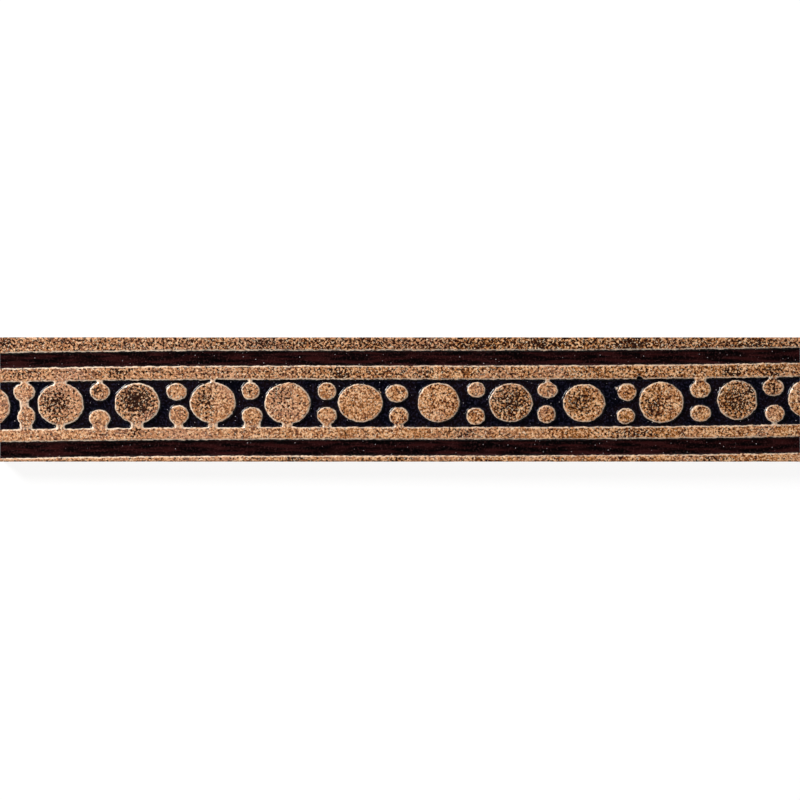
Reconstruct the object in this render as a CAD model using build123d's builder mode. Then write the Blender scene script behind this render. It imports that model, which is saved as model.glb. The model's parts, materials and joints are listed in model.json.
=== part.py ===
"""A ceramic liner tile: a narrow border strip, pressed and fired as one piece.

Its face carries a frieze of raised discs and paired dots between raised bands. The bands, discs and dots
share one height, and the ground around them is sunk. The strip lies on its back: X runs along it, Y across
its face and Z up through the face, with the origin in the middle of the back. All sizes are in millimetres.
"""

import os
from math import ceil
from typing import NamedTuple

from build123d import *

# Driving dimensions of the pressed body
tile_length = 200.0
body_thickness = 7.0  # from the back to the sunk ground
relief_height = 1.0  # of the raised pattern above the sunk ground
rim_bevel = 0.3  # eased edge of everything that is raised
back_chamfer = 0.6  # along the two long edges of the back

# Strips across the face, from its lower edge to its upper edge
lower_rim = 1.7
lower_groove = 3.85
lower_band = 3.25
frieze_width = 11.7
upper_band = 3.65
upper_groove = 3.6
upper_rim = 3.45

# The lines wander as one: they drop by this much at the left end of the pressed strip, which is longer
# than the tile, and climb by it at the right end
line_drift = 1.0

# Frieze
disc_width = 11.2
dot_width = 5.2
spot_gap = 1.12  # along the strip, from a disc to the dots beside it
disc_band_gap = 0.75  # across the strip, from a disc to each band
dot_band_gap = 0.5  # across the strip, from a dot to its band
dot_pair_gap = 1.7  # across the strip, from an upper dot to the lower one
frieze_shift = -0.4  # of the middle of the frieze along the strip
neck_sag = 0.05  # of a neck's top below the face of the bands, discs and dots
neck_bite = 1.0  # how far a neck runs into the band that it joins

# Key grooves that the adhesive grips, along the back
key_groove_count = 4
key_groove_pitch = 6.4
key_groove_width = 3.0
key_groove_depth = 0.6

# How far a cutting outline runs past what it cuts
overrun = 1.0


class Spot(NamedTuple):
    """How one raised disc or dot differs from an even one, as the hand that cut the die left it."""

    along: float  # off its even place along the strip
    across: float  # off its even place across the strip
    wider: float
    taller: float
    up: float = 0.0  # width of the neck by which it runs into the upper band, if any
    down: float = 0.0  # width of the neck by which it runs into the lower band, if any


discs = [
    Spot(0.0, 0.0, 0.3, 0.2),
    Spot(-0.4, 0.2, 0.5, 0.4, up=3.4, down=2.4),
    Spot(0.1, 0.2, 0.3, 0.1, down=3.1),
    Spot(0.3, 0.2, 0.4, 0.1, up=1.3, down=2.5),
    Spot(0.3, 0.0, 0.4, 0.3, down=2.7),
    Spot(-0.15, 0.1, 0.1, -0.5),
    Spot(0.7, 0.2, -0.6, -0.2),
    Spot(0.1, 0.15, -0.3, -0.3),
    Spot(-0.3, 0.0, -0.6, -0.5),
    Spot(0.35, 0.05, 0.0, 0.2),
    Spot(0.7, 0.4, -1.1, -0.2),
    Spot(0.0, 0.4, -0.4, -0.2),
]
upper_dots = [
    Spot(-0.1, 0.2, 0.3, 0.3, up=2.0, down=2.4),
    Spot(0.1, 0.0, 0.0, 0.0, up=1.5),
    Spot(0.6, -0.1, 0.2, 0.0),
    Spot(0.4, 0.0, -0.4, 0.1, up=0.9),
    Spot(0.8, -0.1, -0.3, 0.1),
    Spot(-0.4, -0.6, 0.6, 0.1),
    Spot(0.8, 0.3, -0.6, -0.5),
    Spot(-0.1, 0.2, 0.0, -0.3, up=1.2),
    Spot(1.15, -0.4, -0.4, 0.1),
    Spot(0.8, 0.1, 0.1, 0.0, up=3.0),
    Spot(0.3, 0.3, 0.2, 0.0, up=2.0),
]
lower_dots = [
    Spot(0.45, 0.4, -0.4, 0.5, down=3.0),
    Spot(0.0, -0.4, 0.2, 0.1, down=4.0),
    Spot(1.1, 0.3, 0.0, 0.5, down=2.2),
    Spot(0.8, -0.1, 0.2, 0.3, down=4.3),
    Spot(0.8, 0.0, 0.0, 0.1, down=2.5),
    Spot(0.15, -0.1, -0.2, 0.1, down=2.3),
    Spot(0.6, -0.1, -0.4, 0.0),
    Spot(-0.3, 0.3, -0.4, 0.1),
    Spot(0.9, -0.2, -0.6, -0.3),
    Spot(0.85, 0.3, 0.2, -0.2),
    Spot(0.75, -0.1, -0.2, 0.2, down=0.9),
]

# Places that follow from those sizes
half_length = tile_length / 2
face_height = body_thickness + relief_height
tile_width = (
    lower_rim + lower_groove + lower_band + frieze_width + upper_band + upper_groove + upper_rim
)
lower_groove_bottom = lower_rim - tile_width / 2
lower_groove_top = lower_groove_bottom + lower_groove
frieze_bottom = lower_groove_top + lower_band
frieze_top = frieze_bottom + frieze_width
upper_groove_bottom = frieze_top + upper_band
upper_groove_top = upper_groove_bottom + upper_groove
frieze_middle = (frieze_bottom + frieze_top) / 2
sunk_strips = [
    (lower_groove_bottom, lower_groove_top),
    (frieze_bottom, frieze_top),
    (upper_groove_bottom, upper_groove_top),
]
disc_height = frieze_width - 2 * disc_band_gap
dot_height = (frieze_width - 2 * dot_band_gap - dot_pair_gap) / 2
dot_rise = (dot_pair_gap + dot_height) / 2
disc_pitch = disc_width + dot_width + 2 * spot_gap
discs_each_side = ceil((half_length + disc_width) / disc_pitch)
half_pressed = discs_each_side * disc_pitch + abs(frieze_shift)  # before the ends are sawn off


def drift(x):
    """How far the lines have wandered across the face at a place along the strip."""
    return line_drift * (x / half_pressed) ** 3


def drifting_line(y):
    """The whole length of a line that wanders: four control points give the same cubic as drift."""
    reach = half_pressed + overrun
    swing = drift(reach)
    return Bezier(
        (-reach, y - swing),
        (-reach / 3, y + swing),
        (reach / 3, y - swing),
        (reach, y + swing),
    )


def place(spots, evens, rise, width, height):
    """Each spot of a row, with where its centre stands on the face and how wide and tall it is."""
    row = []
    for number, even in enumerate(evens):
        spot = spots[number % len(spots)]
        x = even + spot.along
        y = frieze_middle + rise + spot.across + drift(x)
        row.append((x, y, width + spot.wider, height + spot.taller, spot))
    return row


disc_places = [
    frieze_shift + (step + 0.5) * disc_pitch for step in range(-discs_each_side, discs_each_side)
]
dot_places = [x + disc_pitch / 2 for x in disc_places[:-1]]
placed_spots = (
    place(discs, disc_places, 0, disc_width, disc_height)
    + place(upper_dots, dot_places, dot_rise, dot_width, dot_height)
    + place(lower_dots, dot_places, -dot_rise, dot_width, dot_height)
)

with BuildPart() as liner_tile:
    # Pressed body, longer than the tile
    with BuildSketch():
        Rectangle(2 * half_pressed, tile_width)
    extrude(amount=face_height)

    # Sunk ground of the face, which leaves the bands, discs and dots standing
    with BuildSketch(Plane.XY.offset(face_height)):
        for bottom, top in sunk_strips:
            with BuildLine():
                lower_edge = drifting_line(bottom)
                upper_edge = drifting_line(top)
                Line(lower_edge @ 0, upper_edge @ 0)
                Line(lower_edge @ 1, upper_edge @ 1)
            make_face()
        for x, y, width, height, spot in placed_spots:
            with Locations((x, y)):
                Ellipse(width / 2, height / 2, mode=Mode.SUBTRACT)
    extrude(amount=-relief_height, mode=Mode.SUBTRACT)
    rims = liner_tile.edges().filter_by_position(Axis.Z, face_height, face_height)
    chamfer(rims - rims.filter_by(Axis.X) - rims.filter_by(Axis.Y), rim_bevel)

    # Necks where a disc or dot has run into a band
    for x, y, width, height, spot in placed_spots:
        for neck, side, band in ((spot.up, 1, frieze_top), (spot.down, -1, frieze_bottom)):
            if neck:
                root = (x, y, body_thickness)
                with BuildSketch(Plane(root, x_dir=(-side, 0, 0), z_dir=(0, side, 0))) as section:
                    Rectangle(neck, relief_height - neck_sag, align=(Align.CENTER, Align.MIN))
                    chamfer(section.vertices().group_by(Axis.Y)[-1], rim_bevel)
                extrude(amount=abs(band + drift(x) - y) + neck_bite)

    # Both ends sawn square, through whatever discs and dots lie there
    with BuildSketch():
        Rectangle(tile_length, tile_width)
    extrude(amount=face_height, mode=Mode.INTERSECT)

    # Long edges of the face and of the back
    chamfer(liner_tile.edges().filter_by(Axis.X).group_by(Axis.Z)[-1], rim_bevel)
    chamfer(liner_tile.edges().filter_by(Axis.X).group_by(Axis.Z)[0], back_chamfer)

    # Key grooves of the back
    with BuildSketch():
        with GridLocations(0, key_groove_pitch, 1, key_groove_count):
            Rectangle(tile_length + 2 * overrun, key_groove_width)
    extrude(amount=key_groove_depth, mode=Mode.SUBTRACT)

liner_tile.part.label = "liner_tile"

os.makedirs("parts", exist_ok=True)
export_step(liner_tile.part, "parts/liner_tile.step")
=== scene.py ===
"""Looks of a ceramic liner tile: bronze lustre on what is raised, dark glaze in the ground, a bare back.

The tile is modelled from a copy of its solid, so it keeps the solid's shape and place. Lengths are in
millimetres, and are turned into metres where Blender takes them. Colours are written as they look on a
screen, from 0 to 255.
"""

import json
from typing import NamedTuple

import bpy
import numpy as np
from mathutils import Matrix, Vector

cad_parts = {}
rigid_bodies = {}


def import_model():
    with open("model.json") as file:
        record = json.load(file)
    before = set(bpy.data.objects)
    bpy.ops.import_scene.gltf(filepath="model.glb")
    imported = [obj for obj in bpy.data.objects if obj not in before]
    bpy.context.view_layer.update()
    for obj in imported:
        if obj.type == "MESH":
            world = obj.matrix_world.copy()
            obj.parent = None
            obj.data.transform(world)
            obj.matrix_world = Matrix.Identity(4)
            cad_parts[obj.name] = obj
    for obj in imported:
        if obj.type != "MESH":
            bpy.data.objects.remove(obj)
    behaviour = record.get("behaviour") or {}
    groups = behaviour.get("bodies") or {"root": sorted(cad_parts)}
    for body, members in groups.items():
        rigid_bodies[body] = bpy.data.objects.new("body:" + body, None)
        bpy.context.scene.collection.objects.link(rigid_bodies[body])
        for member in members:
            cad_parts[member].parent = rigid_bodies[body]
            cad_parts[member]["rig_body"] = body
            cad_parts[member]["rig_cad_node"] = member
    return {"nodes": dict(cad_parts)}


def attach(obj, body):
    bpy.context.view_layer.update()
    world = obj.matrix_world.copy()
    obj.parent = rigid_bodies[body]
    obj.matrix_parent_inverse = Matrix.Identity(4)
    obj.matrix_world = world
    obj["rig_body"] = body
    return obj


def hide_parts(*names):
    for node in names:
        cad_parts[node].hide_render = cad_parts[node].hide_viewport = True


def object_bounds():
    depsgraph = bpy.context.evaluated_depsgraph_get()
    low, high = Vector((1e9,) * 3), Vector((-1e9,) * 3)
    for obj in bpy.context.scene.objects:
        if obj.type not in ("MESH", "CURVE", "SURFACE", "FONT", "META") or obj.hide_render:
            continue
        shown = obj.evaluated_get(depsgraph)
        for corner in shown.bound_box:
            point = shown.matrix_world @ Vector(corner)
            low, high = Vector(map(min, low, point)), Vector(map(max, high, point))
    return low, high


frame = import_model()
cad_low, cad_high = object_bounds()

MM = 0.001  # a millimetre in metres

# Sizes of the tile, with heights above its back
RELIEF = 1.0
FACE = cad_high.z / MM
GROUND = FACE - RELIEF
END = cad_high.x / MM  # from the middle to each sawn end
SIDE = cad_high.y / MM  # from the middle to each long edge
GLAZE_EDGE = FACE - 2.1  # how far down the sides the glaze has run

# Middles of the raised strips, across the face
UPPER_RIM = 13.75
UPPER_BAND = 6.75
LOWER_BAND = -8.5
LOWER_RIM = -14.7

# Mesh of the tile
SAME_POINT = 0.001  # corners of the solid that are this close are one
VOXEL = 0.17
MOST_TRIANGLES = 190_000
WEIGHT_STEPS = 10  # of a vertex group, from untouched to fully moved
STILL_MARGIN = 0.7  # beside the ends and long sides, where outlines don't waver
BOX_MARGIN = 0.01  # by which the mesh stays inside the solid's box

# Levels at which the mesh is told apart
WAVER_FROM = GROUND - 0.3
GROUND_FROM = GROUND - 0.2
GROUND_TO = GROUND + 0.3
FLAT_WITHIN = 0.15  # of the sunk ground, where a nub can rise
HALF_WAY = GROUND + RELIEF / 2
TOP_FROM = FACE - 0.25

# Finish of the tile
BESIDE_FROM = 0.9  # from an end or a long side, where the finish begins to change
BESIDE_FULL = 0.5  # from an end or a long side, where it has changed
GLAZE_RAGGED = 1.4  # unevenness of the glaze's lower edge
LUSTRE_RAGGED = 0.2  # unevenness of the lustre's edge on the walls of the relief
FRIEZE_FROM = -9.2  # across the face, where the frieze's glaze begins, under the lower band
FRIEZE_TO = 7.6  # across the face, where it ends, under the upper band
GLAZE_BLEND = 0.6  # across the face, over which it gives way to the grooves' glaze
STREAK_STRETCH = (0.12, 1, 1)
# Spacing of the painted glints on the dark glaze
GLINT_SPACING = 1.0
CLAY_ROUGHNESS = 0.88
GLAZE_ROUGHNESS = 0.2
BUMP_HEIGHT = 0.2

# Floor and studio, whose greys are linear
FLOOR_SIZE = 6000
FLOOR_DROP = 0.02  # below the tile's back
FLOOR_GREY = 0.16
FLOOR_GLOW = 0.88
WALL_GREY = 0.7
CEILING_GREY = 0.02

# Key light and camera
KEY_FROM = (-580, 450, 680)
KEY_SIZE = 350
KEY_POWER = 9.6
LENS = 200.0
SENSOR = 36.0
PHOTO_PIXEL = 0.25


class Sway(NamedTuple):
    """One way in which the relief's outlines waver: its direction, its waves' size and how far it goes."""

    direction: str
    size: float
    strength: float


sways = [
    Sway("X", 2.3, 0.5),
    Sway("Y", 1.9, 0.35),
    Sway("X", 0.7, 0.35),
    Sway("Y", 0.6, 0.35),
]


class Flaw(NamedTuple):
    """A stray nub on the sunk ground, or a chip out of the face, which has a negative rise."""

    x: float
    y: float
    radius: float
    rise: float


flaws = [
    Flaw(59.8, 5.0, 0.75, -1.0),
    Flaw(-5.2, 1.65, 0.55, 0.65),
    Flaw(54.15, 2.75, 0.45, 0.65),
]


class Patch(NamedTuple):
    """A place on the face where the lustre is pitted, and how badly."""

    x: float
    y: float
    half_length: float
    half_width: float
    wear: float


patches = [
    # Whole length of the upper rim and of the upper band
    Patch(10.0, UPPER_RIM, 160.0, 2.6, 0.7),
    Patch(0.0, UPPER_BAND, 160.0, 2.2, 0.35),
    # Upper rim
    Patch(-98.0, UPPER_RIM, 3.0, 2.0, 0.9),
    Patch(-56.0, UPPER_RIM, 11.0, 2.2, 0.7),
    Patch(-34.0, UPPER_RIM, 9.0, 2.2, 0.9),
    Patch(-18.8, UPPER_RIM - 0.7, 2.2, 1.4, 0.9),
    Patch(-10.0, UPPER_RIM - 0.5, 3.2, 1.6, 0.8),
    Patch(16.0, UPPER_RIM, 5.0, 2.0, 0.9),
    Patch(36.0, UPPER_RIM, 8.0, 2.2, 1.0),
    Patch(57.0, UPPER_RIM, 9.0, 2.2, 1.0),
    Patch(87.0, UPPER_RIM, 14.0, 2.2, 0.8),
    # Upper band
    Patch(-95.0, UPPER_BAND, 3.5, 1.8, 0.7),
    Patch(-70.6, UPPER_BAND, 3.0, 1.8, 0.9),
    Patch(-15.0, UPPER_BAND, 4.0, 1.8, 0.9),
    Patch(6.0, UPPER_BAND, 3.5, 1.8, 0.7),
    Patch(82.5, UPPER_BAND, 3.0, 1.8, 0.9),
    Patch(93.0, UPPER_BAND, 4.0, 1.8, 0.8),
    # Lower band
    Patch(-66.0, LOWER_BAND, 2.5, 1.6, 0.6),
    Patch(16.0, LOWER_BAND, 4.0, 1.6, 0.7),
    Patch(58.0, LOWER_BAND, 8.0, 1.6, 0.7),
    # Lower rim
    Patch(-26.0, LOWER_RIM, 3.0, 0.8, 0.9),
    Patch(0.0, LOWER_RIM, 2.0, 0.8, 0.6),
    Patch(78.0, LOWER_RIM, 4.0, 0.8, 0.7),
    # Discs
    Patch(-86.0, -1.2, 4.5, 4.2, 0.9),
    Patch(-65.8, -0.4, 4.6, 4.2, 1.3),
    Patch(-48.6, -0.6, 2.4, 4.0, 0.8),
    Patch(-29.6, 0.6, 3.2, 3.2, 0.6),
    Patch(27.6, -0.8, 5.4, 4.8, 1.0),
    Patch(44.8, -1.0, 3.4, 3.0, 0.9),
    Patch(63.6, -1.8, 3.6, 3.4, 0.7),
    Patch(84.2, -0.4, 5.0, 4.8, 0.9),
    Patch(87.4, 2.2, 0.9, 0.9, 1.6),
    # Dots
    Patch(93.2, 2.8, 1.6, 1.4, 0.9),
    Patch(-76.0, 2.2, 1.4, 1.4, 0.9),
    Patch(-38.0, 2.2, 1.6, 1.4, 0.6),
]


def on_screen(red, green, blue):
    """A screen colour as the linear colour that a node takes."""
    linear = [
        part / 12.92 if part <= 0.04045 else ((part + 0.055) / 1.055) ** 2.4
        for part in (red / 255, green / 255, blue / 255)
    ]
    return (*linear, 1.0)


def grey(lightness):
    """A linear grey as the colour that a node takes."""
    return (lightness, lightness, lightness, 1.0)


# Colours of the lustre, and where they stand in its mottle
LUSTRE_RAMP = [
    (0.39, on_screen(46, 11, 5)),
    (0.443, on_screen(118, 54, 23)),
    (0.478, on_screen(183, 116, 66)),
    (0.53, on_screen(206, 143, 91)),
    (0.605, on_screen(250, 207, 162)),
]
OCHRE = on_screen(198, 132, 68)
PINK = on_screen(211, 158, 130)
PIT_BROWN = on_screen(36, 12, 6)
# Pale flecks: partly pale grains, partly painted sparkle
PALE_FLECK_AND_SPARKLE = on_screen(255, 230, 198)
# Pale rim line: partly bare lustre, partly painted highlight
WORN_AND_LIT_RIM = on_screen(252, 228, 202)

# Colours of the dark glaze
GROOVE_BLACK = on_screen(4, 1, 2)
GROOVE_RED = on_screen(46, 16, 16)
GROOVE_SHEEN = on_screen(66, 38, 38)
FRIEZE_BLUE = on_screen(2, 2, 8)
FRIEZE_BROWN = on_screen(17, 7, 9)
FRIEZE_SHEEN = on_screen(44, 42, 62)
# Painted glint: pale dots on the dark glaze in place of the lamp's reflection in its ripples
PAINTED_GLINT = on_screen(190, 182, 184)

# Colours of the bare clay, and where they stand in its mottle
CLAY_RAMP = [
    (0.35, on_screen(176, 138, 110)),
    (0.5, on_screen(206, 172, 142)),
    (0.66, on_screen(224, 196, 168)),
]


class Value:
    """An output of a node, on which Python's operators add Math nodes."""

    def __init__(self, finish, output):
        self.finish = finish
        self.output = output

    def _math(self, operation, first, second):
        return self.finish.node("ShaderNodeMath", {"operation": operation}, {0: first, 1: second})

    def __add__(self, other):
        return self._math("ADD", self, other)

    def __radd__(self, other):
        return self._math("ADD", other, self)

    def __sub__(self, other):
        return self._math("SUBTRACT", self, other)

    def __rsub__(self, other):
        return self._math("SUBTRACT", other, self)

    def __mul__(self, other):
        return self._math("MULTIPLY", self, other)

    def __rmul__(self, other):
        return self._math("MULTIPLY", other, self)

    def between(self, low, high):
        """A smooth step from 0 at low to 1 at high."""
        return self.finish.node(
            "ShaderNodeMapRange",
            {"interpolation_type": "SMOOTHSTEP"},
            {"Value": self, "From Min": low, "From Max": high},
        )

    def beside(self, limit):
        """1 beside an end or a long side, which is this far from the middle, and 0 well inside it."""
        return (self * self).between((limit - BESIDE_FROM) ** 2, (limit - BESIDE_FULL) ** 2)

    def larger(self, other):
        """The larger of this value and another."""
        return self._math("MAXIMUM", self, other)


class Finish:
    """The nodes of a material or of the world, which grow as they are asked for."""

    def __init__(self, owner):
        owner.use_nodes = True
        self.tree = owner.node_tree
        self.tree.nodes.clear()

    def node(self, kind, settings=None, inputs=None, output=0):
        """Add a node, set it, fill or link its inputs, and give one of its outputs."""
        added = self.tree.nodes.new(kind)
        for name, setting in (settings or {}).items():
            if name == "stops":
                stops = added.color_ramp.elements
                while len(stops) < len(setting):
                    stops.new(1.0)
                for stop, (position, colour) in zip(stops, setting):
                    stop.position = position
                    stop.color = colour
            else:
                setattr(added, name, setting)
        for socket, value in (inputs or {}).items():
            if isinstance(value, Value):
                self.tree.links.new(value.output, added.inputs[socket])
            else:
                added.inputs[socket].default_value = value
        return Value(self, added.outputs[output]) if added.outputs else None

    def noise(self, place, size, detail=2.0, roughness=0.5):
        """Noise with blotches of about this size."""
        return self.node(
            "ShaderNodeTexNoise",
            None,
            {"Vector": place, "Scale": 1 / (size * MM), "Detail": detail, "Roughness": roughness},
        )

    def mix(self, share, first, second):
        """The first colour where share is 0 and the second where it is 1."""
        return self.node("ShaderNodeMix", {"data_type": "RGBA"}, {0: share, 6: first, 7: second}, 2)

    def ramp(self, share, stops):
        """The colour that stands at this share of a ramp."""
        return self.node("ShaderNodeValToRGB", {"stops": stops}, {0: share})


class Surface(NamedTuple):
    """What the finishes read off the tile: a point's place and wear, and the noises that they share."""

    place: Value  # in metres, as a noise takes it
    along: Value
    across: Value
    height: Value
    level: Value  # the height from before the grain roughened it
    wear: Value
    grain: Value
    coarse: Value
    blotch: Value
    ragged: Value


def only(piece):
    """Make a piece the only selected one, and the active one."""
    bpy.ops.object.select_all(action="DESELECT")
    piece.select_set(True)
    bpy.context.view_layer.objects.active = piece


def shape(piece, kind, **settings):
    """Add a modifier to a piece and apply it."""
    only(piece)
    modifier = piece.modifiers.new(kind.lower(), kind)
    for name, value in settings.items():
        setattr(modifier, name, value)
    bpy.ops.object.modifier_apply(modifier=modifier.name)


def clouds(name, size, depth, contrast=1.0):
    """A cloudy texture for a Displace modifier, with clouds of this size."""
    texture = bpy.data.textures.new(name, "CLOUDS")
    texture.noise_scale = size * MM
    texture.noise_depth = depth
    texture.contrast = contrast
    return texture


def sink(piece, texture, depth, group="", mid_level=0.0):
    """Press a piece in along its normals, by this depth where a texture is white and its group is full."""
    shape(piece, "DISPLACE", texture=texture, strength=-depth * MM, mid_level=mid_level, vertex_group=group)


def corners(piece):
    """Where the vertices of a piece are, one row each."""
    flat = np.empty(len(piece.data.vertices) * 3)
    piece.data.vertices.foreach_get("co", flat)
    return flat.reshape(-1, 3) / MM


def mark(piece, name, weight):
    """A vertex group with a weight for each vertex, either from 0 to 1 or true and false."""
    group = piece.vertex_groups.new(name=name)
    steps = np.round(weight.astype(float) * WEIGHT_STEPS).astype(int)
    for step in range(1, WEIGHT_STEPS + 1):
        group.add(np.flatnonzero(steps == step).tolist(), step / WEIGHT_STEPS, "REPLACE")
    return name


def keep(piece, name, values):
    """Keep a number with each vertex, for the finish to read."""
    attribute = piece.data.attributes.new(name, "FLOAT", "POINT")
    attribute.data.foreach_set("value", values.astype(np.float32))


def pitting(points):
    """How badly the lustre is pitted at each of these points of the face."""
    worn = np.zeros(len(points))
    for patch in patches:
        along = (points[:, 0] - patch.x) / patch.half_length
        across = (points[:, 1] - patch.y) / patch.half_width
        worn = np.maximum(worn, patch.wear * np.exp(-(along**2 + across**2)))
    return worn


def copy_solid():
    """A copy of the tile's solid, as one even mesh that is fine enough for the grain."""
    only(frame["nodes"]["liner_tile"])
    bpy.ops.object.duplicate()
    tile = bpy.context.object
    tile.name = "glazed_tile"
    bpy.ops.object.parent_clear(type="CLEAR_KEEP_TRANSFORM")
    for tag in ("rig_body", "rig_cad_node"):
        del tile[tag]

    bpy.ops.object.mode_set(mode="EDIT")
    bpy.ops.mesh.select_all(action="SELECT")
    bpy.ops.mesh.remove_doubles(threshold=SAME_POINT * MM)
    bpy.ops.object.mode_set(mode="OBJECT")
    shape(tile, "REMESH", mode="VOXEL", voxel_size=VOXEL * MM)
    shape(tile, "SMOOTH", factor=0.5, iterations=4)
    return tile


def waver_outlines(tile, inside):
    """Let the outlines of the relief waver, as cut by hand, clear of the tile's own sides."""
    relief = mark(tile, "relief", inside & (corners(tile)[:, 2] > WAVER_FROM))
    for sway in sways:
        shape(
            tile,
            "DISPLACE",
            texture=clouds(f"sway_{sway.direction}_{sway.size}", sway.size, depth=2),
            direction=sway.direction,
            strength=sway.strength * MM,
            mid_level=0.5,
            vertex_group=relief,
        )


def add_flaws(tile):
    """Sink each chip into what was raised, and raise each nub from what was sunk."""
    for number, flaw in enumerate(flaws):
        place = corners(tile)
        near = np.hypot(place[:, 0] - flaw.x, place[:, 1] - flaw.y) < flaw.radius
        if flaw.rise > 0:
            moved = np.abs(place[:, 2] - GROUND) < FLAT_WITHIN
        else:
            moved = place[:, 2] > HALF_WAY
        flawed = mark(tile, f"flaw_{number}", near & moved)
        shape(tile, "DISPLACE", direction="Z", strength=flaw.rise * MM, mid_level=0, vertex_group=flawed)


def roughen(tile, inside):
    """Grain and pits of the raised parts, ripples of the sunk glaze, and the unevenness of the whole body."""
    place = corners(tile)
    height = place[:, 2]
    on_top = height > TOP_FROM
    raised = mark(tile, "raised", on_top)
    pitted = mark(tile, "pitted", np.clip(pitting(place), 0, 1) * on_top)
    sunk = mark(tile, "sunk", inside & (height > GROUND_FROM) & (height < GROUND_TO))
    sink(tile, clouds("grain", size=0.5, depth=2, contrast=1.6), depth=0.16, group=raised)
    sink(tile, clouds("pits", size=0.7, depth=1, contrast=2.2), depth=0.22, group=pitted)
    sink(tile, clouds("ripples", size=0.9, depth=2), depth=0.06, group=sunk)
    sink(tile, clouds("uneven", size=6, depth=2), depth=0.1, mid_level=-0.4)


def thin(tile):
    """Thin the mesh to at most MOST_TRIANGLES triangles, all inside the solid's box."""
    triangles = 2 * len(tile.data.polygons)
    shape(tile, "DECIMATE", ratio=min(1, MOST_TRIANGLES / triangles), use_collapse_triangulate=True)

    # Points that the thinning threw out of the box are drawn back among their neighbours
    place = corners(tile)
    low = np.array(cad_low) / MM + BOX_MARGIN
    high = np.array(cad_high) / MM - BOX_MARGIN
    stray = mark(tile, "stray", ((place < low) | (place > high)).any(axis=1))
    shape(tile, "SMOOTH", factor=1.0, iterations=1, vertex_group=stray)


def model_tile():
    """The tile with its wavering outlines, flaws, grain, pits and uneven sides."""
    tile = copy_solid()
    place = np.abs(corners(tile))
    inside = (place[:, 0] < END - STILL_MARGIN) & (place[:, 1] < SIDE - STILL_MARGIN)
    waver_outlines(tile, inside)
    add_flaws(tile)

    # The height that tells the glazes apart is kept from before the grain roughens it
    keep(tile, "level", corners(tile)[:, 2])
    roughen(tile, inside)
    thin(tile)
    only(tile)
    bpy.ops.object.shade_smooth()
    tile.vertex_groups.clear()
    keep(tile, "wear", pitting(corners(tile)))
    return tile


def read_surface(finish):
    """The nodes that read the tile's surface."""
    place = finish.node("ShaderNodeTexCoord", output="Object")
    along, across, height = (
        finish.node("ShaderNodeSeparateXYZ", None, {0: place}, axis) * (1 / MM) for axis in "XYZ"
    )
    level, wear = (
        finish.node("ShaderNodeAttribute", {"attribute_name": name}, None, "Fac")
        for name in ("level", "wear")
    )
    return Surface(
        place,
        along,
        across,
        height,
        level,
        wear,
        grain=finish.noise(place, size=0.5, detail=3.0, roughness=0.65),
        coarse=finish.noise(place, size=2.6),
        blotch=finish.noise(place, size=7),
        ragged=finish.noise(place, size=1.1),
    )


def bronze_lustre(finish, surface, pit, rim):
    """Mottled bronze, pinker to the left and pitted where it is worn, with a pale line along the rims that is
    partly lustre worn bare and partly a painted highlight where the rims catch the light.
    """
    bronze = finish.ramp(surface.grain + (surface.coarse - 0.5) * 0.22, LUSTRE_RAMP)
    ochre_share = surface.blotch.between(0.42, 0.62) * 0.25
    ochre = finish.mix(ochre_share, bronze, OCHRE)
    pink_blotch = finish.noise(surface.place, size=11, detail=1.0).between(0.5, 0.68)
    pink_share = pink_blotch * 0.25 + (1 - surface.along.between(-70, 30)) * 0.2
    warm = finish.mix(pink_share, ochre, PINK)
    pitted = finish.mix(pit * 0.98, warm, PIT_BROWN)
    # Pale flecks in the lustre: partly pale grains, partly painted sparkle of the lamp on the grains
    fleck_and_sparkle = finish.noise(surface.place, size=0.38, detail=1.0).between(0.63, 0.7)
    flecked_and_sparkling = finish.mix(fleck_and_sparkle * 0.8, pitted, PALE_FLECK_AND_SPARKLE)
    # Pale line along the rims: partly lustre worn bare, partly painted highlight of the key light, stronger
    # towards the left
    rim_wear_and_highlight = rim * surface.ragged.between(0.28, 0.52) * (0.9 - surface.along.between(-60, 20) * 0.3)
    return finish.mix(rim_wear_and_highlight, flecked_and_sparkling, WORN_AND_LIT_RIM)


def dark_glaze(finish, surface):
    """Dark glaze, streaked and red in the grooves and blue-black in the frieze, with small pale dots of
    painted glint.
    """
    drawn_out = finish.node("ShaderNodeMapping", None, {"Vector": surface.place, "Scale": STREAK_STRETCH})
    streak = finish.noise(drawn_out, size=1.0).between(0.4, 0.66)
    streaked = finish.mix(streak, GROOVE_BLACK, GROOVE_RED)
    groove = finish.mix(surface.grain.between(0.5, 0.7) * 0.6, streaked, GROOVE_SHEEN)
    clouded = finish.mix(surface.blotch.between(0.4, 0.6), FRIEZE_BLUE, FRIEZE_BROWN)
    frieze = finish.mix(surface.grain.between(0.48, 0.68) * 0.6, clouded, FRIEZE_SHEEN)

    # One glaze gives way to the other under the bands
    above_lower = surface.across.between(FRIEZE_FROM, FRIEZE_FROM + GLAZE_BLEND)
    above_upper = surface.across.between(FRIEZE_TO - GLAZE_BLEND, FRIEZE_TO)
    glaze = finish.mix(above_lower * (1 - above_upper), groove, frieze)

    # Painted glints: small pale dots scattered over the dark glaze, standing for the lamp's reflection
    cells = {"Vector": surface.place, "Scale": 1 / (GLINT_SPACING * MM)}
    distance = finish.node("ShaderNodeTexVoronoi", None, cells, "Distance")
    tint = finish.node("ShaderNodeTexVoronoi", None, cells, "Color")
    strength = finish.node("ShaderNodeSeparateColor", None, {0: tint}).between(0.35, 1.0)
    return finish.mix((1 - distance.between(0.05, 0.15)) * strength, glaze, PAINTED_GLINT)


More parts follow.
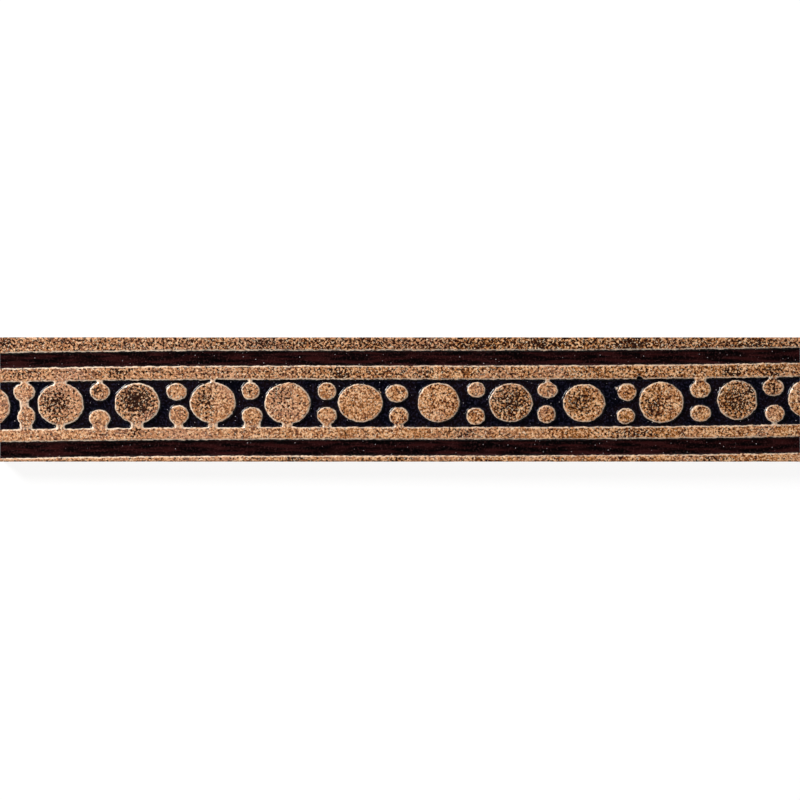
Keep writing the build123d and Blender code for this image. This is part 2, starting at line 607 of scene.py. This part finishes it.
def glaze_and_biscuit():
    """The tile's finish: lustre and dark glaze on the face, bare clay on the back and low on the sides."""
    material = bpy.data.materials.new("lustre_glaze")
    finish = Finish(material)
    surface = read_surface(finish)
    grain = surface.grain
    level = surface.level
    pit_noise = finish.noise(surface.place, size=0.6, roughness=0.55)
    pit = (pit_noise + surface.wear * 0.17).between(0.575, 0.63)
    clay_grain = finish.noise(surface.place, size=0.35, detail=3.0, roughness=0.7)

    # Which part of the tile this is
    ragged = surface.ragged - 0.5
    glazed = (surface.height + ragged * GLAZE_RAGGED).between(GLAZE_EDGE - 0.12, GLAZE_EDGE + 0.12)
    raised = (level + ragged * LUSTRE_RAGGED).between(GROUND + 0.42, GROUND + 0.55)
    wall = level.between(GROUND + 0.06, GROUND + 0.3)
    sawn = surface.along.beside(END)
    edge = surface.across.beside(SIDE)
    # The rims of the relief, which carry the coat and the pale line of wear and painted highlight
    rim = raised * (1 - sawn.larger(edge)) * (1 - level.between(FACE - 0.1, FACE - 0.025))

    lustre = bronze_lustre(finish, surface, pit, rim)
    dark = dark_glaze(finish, surface)
    clay = finish.ramp(clay_grain * 0.6 + surface.blotch * 0.4, CLAY_RAMP)
    smoothing = CLAY_ROUGHNESS - GLAZE_ROUGHNESS - wall * (0.22 + grain * 0.3)
    ground_coat = (1 - raised) * (1 - wall * 0.6) * (1 - sawn) * 0.7
    lustre_bumps = raised * (grain - pit * 0.4)
    ground_bumps = (1 - raised) * surface.coarse * 0.3
    clay_bumps = (1 - glazed) * clay_grain * 0.5
    bumps = finish.node(
        "ShaderNodeBump",
        None,
        {
            "Strength": 0.65,
            "Distance": BUMP_HEIGHT * MM,
            "Height": lustre_bumps + ground_bumps + clay_bumps,
        },
    )
    skin = finish.node(
        "ShaderNodeBsdfPrincipled",
        None,
        {
            "Specular IOR Level": 0.05,
            "Coat Weight": glazed * (ground_coat + rim * 0.9),
            "Coat Roughness": 0.12,
            "Base Color": finish.mix(glazed, clay, finish.mix(raised, dark, lustre)),
            "Roughness": CLAY_ROUGHNESS - glazed * smoothing,
            "Metallic": raised * glazed * 0.2,
            "Normal": bumps,
        },
    )
    finish.node("ShaderNodeOutputMaterial", None, {"Surface": skin})
    return material


def lay_floor():
    """A white floor that keeps a faint shadow, and that hides and darkens nothing from below."""
    bpy.ops.mesh.primitive_plane_add(size=FLOOR_SIZE * MM, location=(0, 0, -FLOOR_DROP * MM))
    floor = bpy.context.object
    floor.name = "floor"
    material = bpy.data.materials.new("white_floor")
    finish = Finish(material)
    seen = finish.node("ShaderNodeLightPath", output="Is Camera Ray")
    for ray in ("Is Glossy Ray", "Is Transmission Ray"):
        seen = seen.larger(finish.node("ShaderNodeLightPath", output=ray))
    shade = finish.node("ShaderNodeBsdfDiffuse", None, {"Color": grey(FLOOR_GREY)})
    glow = finish.node("ShaderNodeEmission", None, {"Color": grey(1), "Strength": FLOOR_GLOW})
    white = finish.node("ShaderNodeAddShader", None, {0: shade, 1: glow})
    beneath = finish.node("ShaderNodeNewGeometry", output="Backfacing")
    clear = finish.node("ShaderNodeBsdfTransparent")
    surface = finish.node("ShaderNodeMixShader", None, {0: seen * (1 - beneath), 1: clear, 2: white})
    finish.node("ShaderNodeOutputMaterial", None, {"Surface": surface})
    floor.data.materials.append(material)


def light_studio():
    """A soft key from the upper left, and pale walls all round under a dim ceiling."""
    world = bpy.data.worlds.new("studio")
    bpy.context.scene.world = world
    finish = Finish(world)
    direction = finish.node("ShaderNodeTexCoord", output="Generated")
    rise = finish.node("ShaderNodeSeparateXYZ", None, {0: direction}, "Z")
    room = finish.mix(rise.between(0.45, 0.85), grey(WALL_GREY), grey(CEILING_GREY))
    sky = finish.node("ShaderNodeBackground", None, {"Color": room})
    finish.node("ShaderNodeOutputWorld", None, {"Surface": sky})

    bpy.ops.object.light_add(type="AREA", location=[part * MM for part in KEY_FROM])
    key = bpy.context.object
    key.name = "key_light"
    key.data.shape = "DISK"
    key.data.size = KEY_SIZE * MM
    key.data.energy = KEY_POWER
    key.rotation_mode = "QUATERNION"
    key.rotation_quaternion = key.location.to_track_quat("Z", "Y")


def set_camera():
    """Straight down on the face, so that the tile's length fills the picture."""
    pixel = PHOTO_PIXEL * MM
    rise = (cad_high.x - cad_low.x - 2 * pixel) * LENS / SENSOR
    bpy.ops.object.camera_add(location=(0, -pixel / 2, cad_high.z + rise), rotation=(0, 0, 0))
    camera = bpy.context.object
    camera.data.lens = LENS
    camera.data.sensor_width = SENSOR
    bpy.context.scene.camera = camera


tile = model_tile()
tile.data.materials.clear()
tile.data.materials.append(glaze_and_biscuit())
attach(tile, "root")
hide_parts("liner_tile")

lay_floor()
light_studio()
set_camera()
bpy.context.scene.view_settings.view_transform = "Standard"
